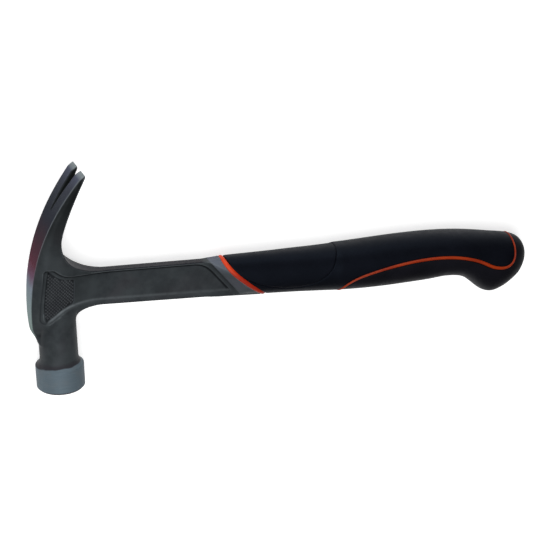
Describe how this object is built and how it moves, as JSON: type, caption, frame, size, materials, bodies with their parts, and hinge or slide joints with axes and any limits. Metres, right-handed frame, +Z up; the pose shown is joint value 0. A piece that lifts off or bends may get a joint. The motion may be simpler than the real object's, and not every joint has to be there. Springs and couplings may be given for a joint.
{
  "type": "framing hammer",
  "caption": "One-piece steel claw hammer with a round smooth face, swept rip claws with a nail slot, an I-section shank and a moulded two-colour grip with a hooked butt.",
  "frame": {"origin": "middle of the hammer's bounding box in plan, on the surface that the hammer lies on", "axes": "+X along the shank towards the butt, +Y towards the claw tips, +Z up from the surface, through the side of the hammer"},
  "size_m": [0.3296, 0.1428, 0.03],
  "materials": {
    "forged_steel": "dark grey satin over fine shot-blasted forging, ground bright on the bell and the claw bevels, heat-tinted on the crown",
    "core_plastic": "hard moulded carrier, matte",
    "accent_orange": "orange moulded elastomer, satin",
    "pad_rubber": "blue-black soft pad, fine satin",
    "palm_rubber": "blue-black elastomer, satin with fine moulded grain",
    "belly_rubber": "charcoal elastomer, fine moulded grain"
  },
  "bodies": {
    "root": {"steel_body": "forged_steel", "grip_core": "core_plastic", "front_accent_ring": "accent_orange", "side_accent_loop": "accent_orange", "thumb_pad": "pad_rubber", "palm_grip": "palm_rubber", "belly_grip": "belly_rubber"}
  },
  "joints": []
}
